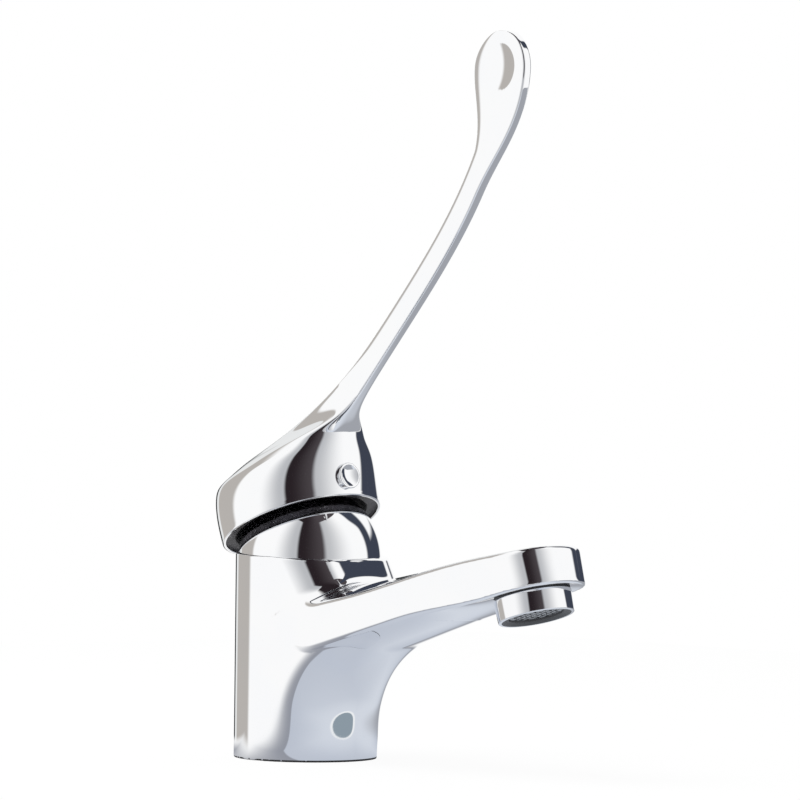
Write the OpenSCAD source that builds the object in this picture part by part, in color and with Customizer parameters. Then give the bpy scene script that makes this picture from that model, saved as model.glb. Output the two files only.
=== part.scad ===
// Single lever basin mixer with a long elbow lever.
// Millimetres. The spout points along +X, Z is up, the deck is the plane z = 0.
// The lever is drawn fully raised, which is the open position.

/* [Body] */
// Radius of the foot that stands on the deck
foot_r = 23; // [22.6:0.1:23.4]
// Radius of the round top of the body
collar_r = 24; // [23.8:0.1:24.6]
// Height of the flat top of the body
body_h = 65.5; // [64.5:0.25:66.5]
// Forward offset of the cartridge axis from the foot centre
axis_x = 1.5; // [1:0.1:2]

/* [Spout] */
// Distance from the foot centre to the outlet axis where it meets the underside
outlet_x = 109; // [104:1:114]
// Radius of the rounded spout end
tip_r = 15; // [14.6:0.1:16]
// Rise angle of the straight underside
keel_rise = 17; // [16:0.25:18]
// Height of the underside at the outlet axis
keel_z = 56.6; // [56:0.2:57.4]
// Radius of the rounded underside
keel_r = 56; // [50:1:64]
// Rise angle of the spout top
top_rise = 9.3; // [8.8:0.1:10]
// Height of the spout top where it leaves the collar
top_z = 55.8; // [55.2:0.1:56.6]
// Radius of the crowned spout top
crown_r = 40; // [38:0.5:48]
// Height on the front of the body where the blend into the underside starts
throat_z = 4; // [3:0.5:6]
// Lean of the flat facet on the front of the collar
facet_lean = 33.5; // [31:0.5:36]

/* [Lever] */
// Reach of the arm from its root to the end of the paddle, with the lever closed
arm_reach = 109.6; // [100:0.2:116]
// Rise of the arm from its root to the end of the paddle, with the lever closed
arm_rise = 73.9; // [66:0.1:80]
// Height of the lift pivot above the deck
pivot_z = 64.5; // [64:0.1:65]
// Angle through which the lever lifts from closed to open
lift_travel = 24; // [20:1:24]
// Outer radius of the lever rim
rim_r = 26.3; // [26:0.1:27]
// Height of the closed rim above the pivot
rim_z = 11; // [10.6:0.1:11.6]
// Height of the upright back of the lever cap
cap_side = 19; // [18:0.25:20]
// Half thickness of the lever blade
blade_t = 2; // [1.8:0.1:2.4]
// Half height of the lever arm
arm_h = 3.75; // [3.4:0.05:4.2]
// Radius of the round paddle at the end of the lever
paddle_r = 11.7; // [10.5:0.1:12.5]
// Radius of the thumb dish in the paddle
dish_r = 7.5; // [6.5:0.1:8]
// Depth of the thumb dish
dish_deep = 1.1; // [0.8:0.05:1.3]
// Radius of the index plug
plug_r = 4.2; // [3.8:0.1:4.4]

/* [Cartridge] */
// Radius of the cartridge
cart_r = 17.4; // [17.2:0.05:17.5]
// Height of the chamber floor
floor_z = 36; // [35.5:0.25:36.5]
// Width of the square stem
stem_w = 8; // [7.6:0.1:8.2]
// Radius of the stem pin
pin_r = 2; // [1.8:0.1:2.2]
// Radius of the turret neck
neck_r = 11.3; // [11:0.1:11.5]
// Radius of the water ports
port_r = 3; // [2.6:0.1:3.2]

/* [Aerator] */
// Outer radius of the visible aerator ring
ring_r = 11.5; // [11.3:0.05:11.8]
// Height of the aerator ring below the underside line
ring_h = 7; // [6.5:0.25:8]
// Radius of the threaded outlet bore
outlet_r = 10.5; // [10.4:0.05:10.6]

/* [Fixings] */
// Wall radius of the threaded hose inlets
inlet_r = 4.5; // [4.3:0.05:4.6]
// Thread depth of the hose inlets
inlet_deep = 14; // [12:0.5:16]
// Wall radius of the threaded fixing stud hole
stud_r = 3.4; // [3.2:0.05:3.5]
// Depth of the fixing stud hole
stud_deep = 15; // [12:0.5:18]

/* [Fits] */
// Running clearance of pins and turning necks
run = 0.04; // [0.03:0.01:0.06]
// Clearance of threads and static seats
seat = 0.05; // [0.04:0.01:0.08]
// Free gap between parts that move past each other
free = 0.3; // [0.25:0.05:0.4]

/* [Hidden] */
$fn = 96;
lean = atan(axis_x / body_h);

deck_seal_r = foot_r - 2;
deck_seal_w = 3;
deck_seal_t = 1.5;

port_back = 4;
port_side = 8;
port_front = 9;
stud_x = 12;
peg_x = 6;
peg_y = 11.5;
peg_r = 1.5;
peg_deep = 2.5;

chamber_r = cart_r + 0.2;
nut_r = cart_r + 1.6;
nut_lip = 2;
inner_r = cart_r - 2.4;
disc_r = inner_r - 0.4;
limit_r = cart_r - 3.2;
base_t = 5;
seal_w = 1.3;
seal_t = 2;
ring_groove = 1.5;
ring_t = 1.6;
base_top = floor_z + base_t;
disc_t = 3.5;
moving_r = 11;
disc_z = base_top + disc_t;
carrier_z = disc_z + disc_t + seat;
carrier_top = carrier_z + 3;
flange_z = carrier_top + 0.4;
plate_z = flange_z + 2.6;
plate_top = plate_z + 3;
limit_t = 2;
turret_top = pivot_z + 5;

stem_lean = lift_travel / 2;
stem_arm = 14.7;
stem_top = 33;
ball_r = 3;
slide_x = stem_arm * sin(stem_lean);

dome_r = collar_r - 1;
dome_wall = 1.2;
cavity_r = collar_r + 0.9;
plug_t = 3.3;
plug_dish = 0.9;
plug_lean = 12;
plug_h = rim_z + 5.4;
plug_d = rim_r + 3.5;
grub_r = 2.1;
grub_point = 0.8;
grub_lean = 32.5;
grub_h = plug_h - 0.6;
grub_d = rim_r + 3.34;
grub_tilt = grub_lean - stem_lean;
grub_deep = (grub_d * cos(stem_lean) - grub_h * sin(stem_lean) - stem_w / 2) / cos(grub_tilt)
  - grub_point * tan(grub_tilt);

skirt_h = 21.5;
skirt_out = 1.6;
skirt_slope = 0.71;
facet_x = axis_x + collar_r - 0.9;

ring_top = 2.6;
ring_lip = 0.8;
sleeve_top = 4.6;
sleeve_r = outlet_r - 1.5;
seal_r = 7.6;
outlet_top = sleeve_top + 2;
plenum_top = outlet_top + 2.6;
waterway_r = 2.4;

function mix(a, b, t) = a + (b - a) * t;
function clamp(v) = min(1, max(0, v));
function ease(t) = (1 - cos(180 * clamp(t))) / 2;
function power(v, e) = sign(v) * pow(abs(v), e);
function curve(p, t) =
  let (s = 1 - t)
  s * s * s * p[0] + 3 * s * s * t * p[1] + 3 * s * t * t * p[2] + t * t * t * p[3];

// Skin over a stack of closed rings, each with the same count of points
module skin(rings) {
  m = len(rings);
  n = len(rings[0]);
  points = [for (r = rings) each r];
  sides = [for (i = [0:m - 2], j = [0:n - 1]) let (k = (j + 1) % n)
    each [[i * n + j, (i + 1) * n + j, i * n + k], [i * n + k, (i + 1) * n + j, (i + 1) * n + k]]];
  bottom = [[for (j = [0:n - 1]) j]];
  top = [[for (j = [n - 1:-1:0]) (m - 1) * n + j]];
  polyhedron(points, concat(sides, bottom, top), convexity = 8);
}

// Frame of the cartridge axis
module on_axis(z = 0) {
  translate([axis_x, 0, z]) children();
}

// Frame of the raised lever, with the pivot as origin and the closed pose as zero
module on_lever() {
  translate([axis_x, 0, pivot_z]) rotate([0, -lift_travel, 0]) children();
}

// Frame of the stem: Z runs up the stem from the pivot
module on_stem() {
  translate([axis_x, 0, pivot_z]) rotate([0, -stem_lean, 0]) children();
}

// Frame of the outlet: Z runs up into the spout, zero at the underside line
module on_outlet() {
  translate([outlet_x, 0, keel_z]) rotate([0, -keel_rise, 0]) children();
}

// Body

module trunk() {
  intersection() {
    rotate([0, lean, 0]) translate([0, 0, -2])
      cylinder(h = body_h + 6, r1 = foot_r, r2 = collar_r + 0.1);
    translate([-40, -40, 0]) cube([80, 80, body_h]);
  }
}

// Flanks of the spout, which run from the sides of the body to the round end
module flanks() {
  root_r = collar_r - 0.45;
  end_r = tip_r - 0.35;
  turn = asin((root_r - end_r) / (outlet_x - axis_x));
  end_y = end_r * cos(turn) + (1.2 + end_r * sin(turn)) * tan(turn);
  linear_extrude(60) polygon([
    [axis_x + root_r * sin(turn), root_r * cos(turn)],
    [outlet_x - 1.2, end_y],
    [outlet_x - 1.2, -end_y],
    [axis_x + root_r * sin(turn), -root_r * cos(turn)]]);
}

// Round end of the spout, which leans back with the outlet
module nose() {
  translate([1.2, 0, 0]) on_outlet() translate([0, 0, -20]) cylinder(h = 60, r = tip_r);
}

module spout() {
  reach = 3 * outlet_x;
  intersection() {
    union() {
      translate([0, 0, 20]) flanks();
      nose();
    }
    translate([outlet_x, 0, keel_z]) rotate([0, 90 - keel_rise, 0])
      translate([-keel_r, 0, 0]) cylinder(h = reach, r = keel_r, center = true);
    translate([axis_x + collar_r, 0, top_z]) rotate([0, 90 - top_rise, 0])
      translate([crown_r, 0, 0]) cylinder(h = reach, r = crown_r, center = true);
  }
}

// Front edge of the body where it sweeps up into the underside
function keel_at(x) = keel_z + (x - outlet_x) * tan(keel_rise);
throat_path = [[foot_r - 0.3, throat_z], [foot_r + 3.6, 27],
  [41, keel_at(41) - 1.3], [78, keel_at(78) + 0.3]];

// Level section that is round at the sides of the body and drawn out to a front edge
function front_ring(z, front, half, e) =
  let (mid = axis_x * z / body_h)
  concat([for (j = [0:24]) let (w = -90 + 7.5 * j)
    [mid + (front - mid) * pow(cos(w) + 1e-9, e), half * power(sin(w), e), z]],
    [[mid - 10, half - 3, z], [mid - 10, 3 - half, z]]);

function throat_ring(t) =
  let (p = curve(throat_path, t))
  front_ring(p[1], p[0], mix(foot_r, collar_r, p[1] / body_h) - 0.3, 2 / mix(2, 1.78, ease(t * 1.4)));

module throat() {
  skin([for (i = [0:20]) throat_ring(i / 20)]);
}

// Front of the collar, which leans out over the spout
module skirt() {
  skin([for (z = [body_h - skirt_h, body_h])
    front_ring(z, axis_x + collar_r + skirt_out + skirt_slope * (body_h - z), collar_r - 0.6, 1)]);
}

// Trunk with its leaning front, cut by the flat facet
module trunk_and_skirt() {
  difference() {
    union() {
      trunk();
      skirt();
    }
    translate([facet_x, 0, body_h]) rotate([0, -facet_lean, 0])
      translate([0, -40, -40]) cube([40, 80, 80]);
  }
}

module tap_body() {
  color([0.86, 0.87, 0.88]) difference() {
    union() {
      trunk_and_skirt();
      spout();
      throat();
    }
    on_axis(floor_z) cylinder(h = body_h, r = chamber_r);
    on_axis(plate_top) cylinder(h = body_h, r = nut_r);
    on_axis(floor_z - peg_deep - free) pegs() cylinder(h = base_t, r = peg_r + seat);
    on_axis(-1) inlets() cylinder(h = floor_z + 2, r = port_r);
    on_axis(-1) inlets() cylinder(h = inlet_deep + 1, r = inlet_r);
    translate([stud_x, 0, -1]) cylinder(h = stud_deep + 1, r = stud_r);
    waterway();
    on_outlet() translate([0, 0, -20]) cylinder(h = 20 + ring_top + free, r = ring_r + 0.2);
    on_outlet() cylinder(h = outlet_top, r = outlet_r);
    on_outlet() cylinder(h = plenum_top, r = seal_r - 0.1);
    translate([0, 0, -1]) deck_ring(deck_seal_t + 1, 0);
  }
}

// Point in the mid plane, given along and up the outlet axis
function outlet_point(x, z) =
  [outlet_x + x * cos(keel_rise) - z * sin(keel_rise), keel_z + x * sin(keel_rise) + z * cos(keel_rise)];

// Passage from the mixed water port to the room above the aerator
module waterway() {
  from = [axis_x + port_front, floor_z - 6.6];
  to = outlet_point(-6, outlet_top + waterway_r);
  rise = atan((to[1] - from[1]) / (to[0] - from[0]));
  translate([from[0], 0, from[1] - waterway_r]) cylinder(h = 12, r = port_r);
  translate([from[0], 0, from[1]]) rotate([0, 90 - rise, 0]) cylinder(h = norm(to - from), r = waterway_r);
}

// Flat ring under the foot, drawn in from its groove walls by a gap
module deck_ring(h, gap) {
  difference() {
    cylinder(h = h, r = deck_seal_r - gap);
    translate([0, 0, -1]) cylinder(h = h + 2, r = deck_seal_r - deck_seal_w + gap);
  }
}

module base_seal() {
  color([0.12, 0.12, 0.12]) deck_ring(deck_seal_t, seat);
}

// Cartridge

module inlets() {
  for (side = [-1, 1]) translate([-port_back, side * port_side, 0]) children();
}

module ports() {
  inlets() children();
  translate([port_front, 0, 0]) children();
}

module pegs() {
  for (side = [-1, 1]) translate([peg_x, side * peg_y, 0]) children();
}

module cartridge_base() {
  color([0.9, 0.9, 0.86]) on_axis(floor_z) difference() {
    union() {
      translate([0, 0, seat]) cylinder(h = base_t - seat, r = cart_r);
      pegs() translate([0, 0, -peg_deep]) cylinder(h = peg_deep + 1, r = peg_r);
    }
    ports() translate([0, 0, -1]) cylinder(h = base_t + 2, r = port_r);
    ports() translate([0, 0, -1]) cylinder(h = seal_t + 1, r = port_r + seal_w + seat);
    translate([0, 0, base_t / 2 - ring_t / 2]) difference() {
      cylinder(h = ring_t, r = cart_r + 1);
      translate([0, 0, -1]) cylinder(h = ring_t + 2, r = cart_r - ring_groove);
    }
  }
}

module port_seals() {
  color([0.1, 0.1, 0.1]) on_axis(floor_z) ports() difference() {
    cylinder(h = seal_t, r = port_r + seal_w);
    translate([0, 0, -1]) cylinder(h = seal_t + 2, r = port_r);
  }
}

module body_ring() {
  color([0.1, 0.1, 0.1]) on_axis(floor_z + base_t / 2 - ring_t / 2) difference() {
    cylinder(h = ring_t, r = chamber_r);
    translate([0, 0, -1]) cylinder(h = ring_t + 2, r = cart_r - ring_groove);
  }
}

module fixed_disc() {
  color([0.95, 0.94, 0.9]) on_axis(base_top) difference() {
    cylinder(h = disc_t, r = disc_r);
    ports() translate([0, 0, -1]) cylinder(h = disc_t + 2, r = port_r);
  }
}

module moving_disc() {
  pocket_t = 2;
  lobes = [14, 5];
  color([0.93, 0.92, 0.88]) on_axis(disc_z + seat) translate([slide_x, 0, 0]) difference() {
    cylinder(h = disc_t, r = moving_r);
    translate([0, 0, -1]) linear_extrude(pocket_t + 1) {
      circle(2 * port_r);
      square(lobes, center = true);
    }
  }
}

module disc_carrier() {
  socket = 2 * (ball_r + free);
  carrier_t = carrier_top - carrier_z;
  color([0.85, 0.85, 0.8]) on_axis(carrier_z) translate([slide_x, 0, 0]) difference() {
    cylinder(h = carrier_t, r = moving_r);
    translate([-socket / 2, -socket / 2, -1]) cube([socket, socket, carrier_t + 2]);
  }
}

module cartridge_housing() {
  color([0.2, 0.2, 0.22]) on_axis(base_top) difference() {
    cylinder(h = plate_top - base_top, r = cart_r);
    translate([0, 0, -1]) cylinder(h = plate_z - base_top + 1, r = inner_r);
    cylinder(h = plate_top - base_top + 1, r = neck_r + run);
  }
}

module turret() {
  slot = stem_w + 7.2;
  color([0.85, 0.85, 0.8]) on_axis() difference() {
    union() {
      translate([0, 0, flange_z]) cylinder(h = plate_z - flange_z - seat, r = disc_r);
      translate([0, 0, flange_z]) cylinder(h = turret_top - flange_z, r = neck_r);
    }
    translate([-slot / 2, -stem_w / 2 - free, flange_z - 1]) cube([slot, stem_w + 2 * free, 40]);
    translate([0, -20, pivot_z]) rotate([-90, 0, 0]) cylinder(h = 40, r = pin_r);
  }
}

module stem_pin() {
  color([0.75, 0.76, 0.78]) translate([axis_x, -neck_r + 0.4, pivot_z]) rotate([-90, 0, 0])
    cylinder(h = 2 * neck_r - 0.8, r = pin_r);
}

module stem() {
  color([0.8, 0.7, 0.42]) on_stem() difference() {
    union() {
      translate([-stem_w / 2, -stem_w / 2, -6]) cube([stem_w, stem_w, stem_top + 6]);
      translate([0, 0, 1 - stem_arm]) cylinder(h = stem_arm - 6, r = ball_r - 0.6);
      translate([0, 0, -stem_arm]) intersection() {
        sphere(ball_r);
        translate([-5, -5, -0.8]) cube([10, 10, 10]);
      }
    }
    translate([0, -10, 0]) rotate([-90, 0, 0]) cylinder(h = 20, r = pin_r + run);
  }
}

module limit_ring() {
  color([0.75, 0.2, 0.15]) on_axis(plate_top) difference() {
    cylinder(h = limit_t, r = limit_r);
    translate([0, 0, -1]) cylinder(h = limit_t + 2, r = neck_r + free);
  }
}

module retaining_nut() {
  top = body_h + 2.5;
  color([0.78, 0.66, 0.36]) on_axis() difference() {
    union() {
      translate([0, 0, plate_top]) cylinder(h = body_h - plate_top, r = nut_r - seat);
      translate([0, 0, plate_top]) cylinder(h = top - plate_top, r = nut_r - nut_lip);
    }
    translate([0, 0, plate_top - 1]) cylinder(h = top - plate_top + 2, r = limit_r + seat);
    for (i = [0:3]) rotate(45 + 90 * i) translate([limit_r - 2, -2, top - 1.8]) cube([8, 4, 4]);
  }
}

module dome_cover() {
  color([0.86, 0.87, 0.88]) on_axis() difference() {
    intersection() {
      translate([0, 0, pivot_z]) sphere(dome_r);
      translate([-40, -40, body_h]) cube([80, 80, 40]);
    }
    difference() {
      translate([0, 0, pivot_z]) sphere(dome_r - dome_wall);
      translate([-40, -40, pivot_z - 10]) cube([80, 80, body_h - pivot_z + 11.5]);
    }
    translate([0, 0, body_h - 1]) cylinder(h = 5, r = nut_r - nut_lip + seat);
    translate([0, 0, body_h]) cylinder(h = 40, r = neck_r + 0.7);
  }
}

// Lever

// Centre line of the arm and paddle, in the closed lever frame
arm_root = [rim_r + 13.7, rim_z + 28.7];
arm_path = [for (k = [[0, 0], [0.43, 0.275], [0.89, 0.44], [1, 1]])
  arm_root + [k[0] * arm_reach, k[1] * arm_rise]];
function arm_at(t) = curve(arm_path, t);
function arm_dir(t) =
  let (s = 1 - t,
    d = s * s * (arm_path[1] - arm_path[0]) + 2 * s * t * (arm_path[2] - arm_path[1])
      + t * t * (arm_path[3] - arm_path[2]))
  d / norm(d);

// Half height of the blade at a distance below the paddle end, with the length of the shoulder
function blade_h(d, shoulder, soft) =
  let (u = clamp(1 - (d - paddle_r) / shoulder))
  d < paddle_r ? sqrt(max(0.04, paddle_r * paddle_r - pow(paddle_r - d, 2)))
    : arm_h + (paddle_r - arm_h) * mix(sin(90 * u), ease(u), soft);

// Extra height of the arm on its upper side where it grows out of the cap
function root_swell(t) = 1.8 * pow(1 - clamp(t / 0.14), 2);

// Extra half thickness of the blade at its root
function root_flare(t) = 1.7 * pow(1 - clamp(t / 0.07), 2);

// One ring: from a back point to a front point, with a half width, a squareness and a lean of
// the width towards the back
ring_n = 36;
function lever_ring(back, front, half, square, egg) =
  let (mid = (back + front) / 2, ax = (front - back) / 2)
  [for (j = [0:ring_n - 1]) let (w = 360 * j / ring_n,
      c = power(cos(w), 2 / square), s = power(sin(w), 2 / square))
    [mid[0] + ax[0] * c, half * s * (1 - egg * c), mid[1] + ax[1] * c]];

// Back and front edges of the cap, from the rim up to the root of the arm
cap_back = [3.1 - rim_r, rim_z + cap_side];
root_back = arm_at(0) + (arm_h + root_swell(0)) * [-arm_dir(0)[1], arm_dir(0)[0]];
root_front = arm_at(0) - arm_h * [-arm_dir(0)[1], arm_dir(0)[0]];
front_lean = 6.7;
front_bulge = 1.3;
front_pull = 17.6;
root_pull = 14.1;
front_path = [[rim_r, rim_z],
  [rim_r + front_pull * sin(front_lean), rim_z + front_pull * cos(front_lean)],
  root_front - root_pull * arm_dir(0), root_front];

// Share of the cap rings that climb its upright back
back_share = 0.52;

// Ring of the cap: the back climbs to its corner and then runs up to the arm, the front sweeps up in a
// single curve, and the width narrows from the rim to the blade
function cap_ring(t) =
  let (climb = 1 - pow(1 - clamp(t / back_share), 1.8),
    run_up = pow(clamp((t - back_share) / (1 - back_share)), 1.8),
    bulge = [0.5 * sin(180 * climb), 0],
    back = mix([-rim_r, rim_z], cap_back, climb) + (root_back - cap_back) * run_up - bulge,
    front = curve(front_path, pow(t, 1.08)) + [front_bulge * sin(180 * clamp(2 * t)), 0],
    half = blade_t + (rim_r - blade_t) * pow(1 - pow(t, 2.2), 0.7),
    square = 2 + 0.15 * sin(180 * t) + 4 * ease((t - 0.92) / 0.08),
    egg = 0.057 * sin(180 * t) + 0.12 * t * (1 - t) * (t - 0.5))
  lever_ring(back, front, half, square, egg);

function blade_ring(t) =
  let (p = arm_at(t), d = arm_dir(t), up = [-d[1], d[0]], far = norm(arm_at(1) - p))
  lever_ring(p + (blade_h(far, 27, 0.6) + root_swell(t)) * up, p - blade_h(far, 38, 1) * up,
    blade_t + root_flare(t), 6, 0);

module lever_skin() {
  skin(concat(
    [for (i = [0:24]) cap_ring(0.985 * i / 24)],
    [for (i = [0:20]) blade_ring(mix(0.01, 0.82, i / 20))],
    [for (i = [1:16]) blade_ring(mix(0.82, 1, sin(90 * i / 16)))]));
}

module lever() {
  color([0.86, 0.87, 0.88]) difference() {
    on_lever() lever_skin();
    translate([axis_x, 0, pivot_z]) sphere(cavity_r);
    on_stem() translate([-stem_w / 2 - seat, -stem_w / 2 - seat, 0])
      cube([stem_w + 2 * seat, stem_w + 2 * seat, stem_top + seat]);
    on_plug() translate([0, 0, -plug_t]) cylinder(h = 10, r = plug_r + seat);
    on_grub() translate([0, 0, -grub_deep - 1]) cylinder(h = grub_deep + 2, r = grub_r);
    for (side = [-1, 1]) on_lever() dish(side);
  }
}

// Frame of the index plug: Z points out of the front of the cap
module on_plug() {
  on_lever() translate([plug_d, 0, plug_h]) rotate([0, 90 + plug_lean, 0]) children();
}

// Frame of the grub screw: Z points out towards the plug
module on_grub() {
  on_lever() translate([grub_d, 0, grub_h]) rotate([0, 90 + grub_lean, 0]) children();
}

module dish(side) {
  ball = (dish_r * dish_r + dish_deep * dish_deep) / (2 * dish_deep);
  spot = arm_at(0.9);
  translate([spot[0], side * (blade_t + ball - dish_deep), spot[1]]) sphere(ball);
}

module grub_screw() {
  color([0.35, 0.35, 0.37]) on_grub() translate([0, 0, -grub_deep]) difference() {
    union() {
      cylinder(h = 1.2, r1 = grub_point, r2 = grub_r - seat);
      translate([0, 0, 1.2]) cylinder(h = 7.8, r = grub_r - seat);
    }
    translate([0, 0, 6]) cylinder(h = 5, r = 1.2, $fn = 6);
  }
}

module index_plug() {
  face = plug_r - 0.75;
  ball = (face * face + plug_dish * plug_dish) / (2 * plug_dish);
  color([0.8, 0.82, 0.85]) on_plug() difference() {
    translate([0, 0, -plug_t]) cylinder(h = plug_t, r = plug_r);
    translate([0, 0, ball - plug_dish]) sphere(ball);
  }
}

// Aerator

module aerator_housing() {
  color([0.86, 0.87, 0.88]) on_outlet() difference() {
    union() {
      translate([0, 0, -ring_h]) cylinder(h = ring_h + ring_top, r1 = ring_r - 0.5, r2 = ring_r);
      cylinder(h = sleeve_top, r = outlet_r - seat);
    }
    translate([0, 0, ring_lip - ring_h]) cylinder(h = 40, r = sleeve_r);
    translate([0, 0, -20]) cylinder(h = 40, r = sleeve_r - 0.7);
  }
}

module aerator_screen() {
  pitch = 2.2;
  gap = 1.6;
  color([0.6, 0.6, 0.6]) on_outlet() translate([0, 0, ring_lip - ring_h])
    linear_extrude(ring_lip) difference() {
    circle(sleeve_r - seat);
    for (x = [-3:3], y = [-3:3])
      if (x * x + y * y < 11) translate([pitch * x, pitch * y]) square(gap, center = true);
  }
}

module aerator_insert() {
  low = 2 * ring_lip - ring_h;
  color([0.9, 0.9, 0.88]) on_outlet() translate([0, 0, low]) difference() {
    cylinder(h = sleeve_top - low, r = sleeve_r - seat);
    translate([0, 0, 6]) cylinder(h = 20, r = seal_r);
    for (i = [0:5]) rotate(60 * i) translate([5, 0, -1]) cylinder(h = 20, r = 1.6);
    translate([0, 0, -1]) cylinder(h = 20, r = 1.6);
    translate([0, 0, -1]) cylinder(h = 2.5, r = sleeve_r - 1);
  }
}

module aerator_seal() {
  color([0.1, 0.1, 0.1]) on_outlet() translate([0, 0, sleeve_top]) difference() {
    cylinder(h = outlet_top - sleeve_top, r = outlet_r - 0.2);
    translate([0, 0, -1]) cylinder(h = outlet_top - sleeve_top + 2, r = seal_r);
  }
}

tap_body();
base_seal();
dome_cover();
retaining_nut();
limit_ring();
cartridge_housing();
cartridge_base();
port_seals();
body_ring();
fixed_disc();
moving_disc();
disc_carrier();
turret();
stem_pin();
stem();
lever();
grub_screw();
index_plug();
aerator_housing();
aerator_insert();
aerator_screen();
aerator_seal();
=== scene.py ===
import math

import bpy
import numpy as np
from mathutils import Matrix, Vector


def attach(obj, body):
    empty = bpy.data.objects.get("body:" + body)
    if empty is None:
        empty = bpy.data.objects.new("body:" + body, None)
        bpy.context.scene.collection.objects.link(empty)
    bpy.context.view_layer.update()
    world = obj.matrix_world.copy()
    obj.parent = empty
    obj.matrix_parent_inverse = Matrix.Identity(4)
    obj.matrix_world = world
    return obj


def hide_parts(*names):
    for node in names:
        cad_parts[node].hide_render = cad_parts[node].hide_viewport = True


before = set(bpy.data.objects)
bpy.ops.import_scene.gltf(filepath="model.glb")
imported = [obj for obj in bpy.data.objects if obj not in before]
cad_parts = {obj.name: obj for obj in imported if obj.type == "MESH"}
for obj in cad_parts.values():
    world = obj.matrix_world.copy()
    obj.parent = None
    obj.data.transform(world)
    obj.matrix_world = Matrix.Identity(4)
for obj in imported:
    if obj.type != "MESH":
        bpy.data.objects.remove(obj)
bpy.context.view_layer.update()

MM = 0.001

# Sizes are in millimetres and angles in radians, in the frame of the solids. A bow is the drop per square
# millimetre of the distance, and a run is a stretch given by its start and its length

# Trunk from the foot to the collar, whose top leans
FOOT_R, COLLAR_R, BODY_H, AXIS_X = 23.0, 24.0, 65.5, 1.5
TOP_LEAN = math.tan(math.radians(2))
# The lowest strip of the body, up to this height, is painted black as the shadow where the foot meets the
# deck
FOOT_SHADOW_LINE = 0.4

# Spout: flanks, underside with its hollow at the outlet, nose, crown, and the end of the throat below
FLANK_IN, FLANK_SINK, FLANK_EASE, FLANK_FROM = 0.45, 0.15, 0.02, 10.0
OUTLET_X, KEEL_Z, KEEL_RISE, KEEL_R, TIP_R = 109.0, 56.6, math.radians(17), 46.0, 15.0
OUTLET_HOLLOW, HOLLOW_BOW = 1.0, 0.0069
NOSE_OUT, NOSE_SQUARE = 1.2, 2.6
TOP_Z, TOP_RISE, CROWN_R, TIP_BOW, TIP_LIFT = 55.8, math.radians(9.3), 40.0, 0.0055, 0.8
THROAT_X, THROAT_IN, THROAT_SINK, THROAT_BLUNT, THROAT_BLUNT_Z = 78.0, 0.6, 0.4, 0.65, 34.0
HOLLOW_RUN, CROWN_RUN, FILL_RUN, ROOT_RUN = (66, 52), (40, 62), (9, 9), (12, 18)

# Widths over which the creases of the body are rounded or filled
TOP_ROUND, FOOT_ROUND, FACET_ROUND, BORE_ROUND, THROAT_ROUND = 0.8, 0.6, 1.0, 0.3, 2.0
CROWN_ROUND, KEEL_ROUND, ROOT_ROUND, THROAT_FILL, CREASE_FILL = 1.5, 1.4, 6.0, 1.2, 0.4

# Front of the collar: fill on the crown, leaning column and flat facet
TOP_FILL, SKIRT_OUT, SKIRT_SLOPE, FACET_X, FACET_LEAN = 4.0, 1.9, 0.71, 24.6, math.radians(33.5)

# Bores of the body, each with its radius and the height where it starts or ends
CHAMBER_R, CHAMBER_FROM, NUT_BORE_R, NUT_BORE_FROM = 17.6, 36.0, 19.0, 57.05
INLET_X, INLET_Y, INLET_R, INLET_TOP, PORT_R, PORT_TOP = -2.5, 8.0, 4.5, 14.0, 3.0, 40.0
STUD_X, STUD_R, STUD_TOP = 12.0, 3.4, 15.0
GROOVE_R, GROOVE_HALF, GROOVE_TOP = 19.5, 1.5, 1.5
SEAT_STEPS = ((11.7, 2.9), (10.5, 6.6), (7.5, 9.2))

# Grid of the body skin
SKIN_LOW, SKIN_HIGH, SKIN_STEP, SNAP_PASSES = (-26, -26, -1), (128, 26, 75), 0.65, 5

# Cap of the lever, in the frame of the closed lever: rim, hollow, back and front
PIVOT_Z, LIFT = 64.5, math.radians(24)
RIM_R, RIM_Z, LIP_R, LIP_H, CAVITY_R = 26.3, 11.0, 25.2, 0.9, 24.9
CAP_BACK, BACK_SHARE, FRONT_BULGE = np.array([-23.2, 30.0]), 0.52, 1.9
FRONT_LEAN, FRONT_PULL, ROOT_PULL = math.radians(6.7), 17.6, 14.1
HOLLOW_ROWS, LIP_ROWS, SMOOTH_PASSES = 26, 15, 160

# Arm of the lever: root, blade, paddle with its dish, and the pulls of its curve as shares of the reach
ROOT_OUT, ROOT_UP, ROOT_SWELL, SWELL_RUN = 13.7, 28.7, 1.8, 0.14
BLADE_T, BLADE_SQUARE, ARM_H, PADDLE_R = 2.0, 6.0, 3.75, 11.7
DISH_R, DISH_DEEP, DISH_AT = 7.5, 1.1, 0.912
ARM_REACH, ARM_RISE = 109.6, 73.9
ARM_PULLS = ((0, 0), (0.43, 0.275), (0.89, 0.44), (1, 1))

# Dome cover, which leans with the collar below and is upright from UPRIGHT_Z on, index plug and aerator ring
DOME_R, DOME_WALL, DOME_MOUTH, DOME_SEAT_R, DOME_SEAT_H = 23.0, 1.2, 12.0, 17.05, 1.5
UPRIGHT_Z, LEANING_H = 80.0, 14.0
PLUG_R, PLUG_T, PLUG_DISH, PLUG_EDGE = 4.2, 3.3, 0.9, 0.75
PLUG_AT, PLUG_LEAN = (28.8, 16.5), math.radians(12)
RING_R, RING_H, RING_TOP, SLEEVE_R, SLEEVE_TOP = 11.5, 7.0, 2.6, 10.45, 4.6
# Rows of the aerator ring's profile painted dark as shade: those inside the mouth, and a band along the top
# of the wall where the ring meets the spout
RING_SIDES, SHADED_MOUTH_ROWS, SHADOW_GAP_ROWS = 144, 27, (40, 55)

# Meshes: points closer than WELD become one, and edges bent by more than SHARP stay crisp
WELD, SHARP, TINY = 1e-4, math.radians(38), 1e-12


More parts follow.
